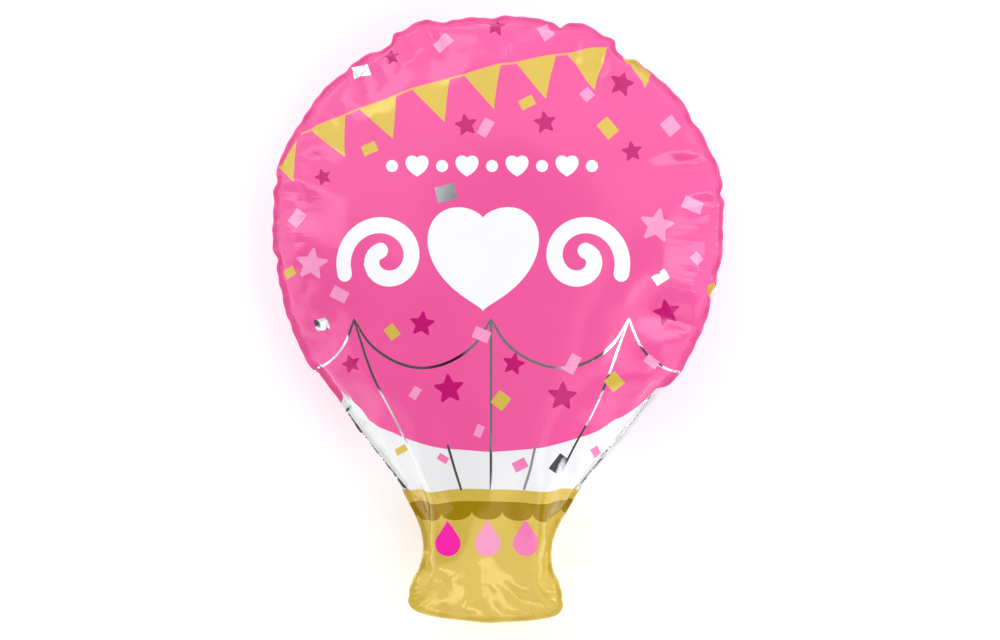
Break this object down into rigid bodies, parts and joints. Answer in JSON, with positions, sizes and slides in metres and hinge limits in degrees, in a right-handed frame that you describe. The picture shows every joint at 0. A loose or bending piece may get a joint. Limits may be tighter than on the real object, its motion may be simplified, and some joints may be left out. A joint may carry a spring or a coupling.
{
  "type": "hot air balloon foil balloon",
  "caption": "Printed foil balloon shaped like a hot air balloon: a round envelope that narrows to a neck and a small flared basket, with a puckered flat seam, lying on its back.",
  "frame": {"origin": "centre of the bounding box at floor level, on the flat spot under the back", "axes": "+X to the right seen from the printed front, +Y from the basket up to the top of the envelope, +Z out of the printed front, which faces up"},
  "size_m": [0.335, 0.458, 0.117],
  "materials": {
    "printed_foil": "glossy printed foil, with mirror-bright spots"
  },
  "bodies": {
    "root": {"foil_envelope": "printed_foil"}
  },
  "joints": []
}
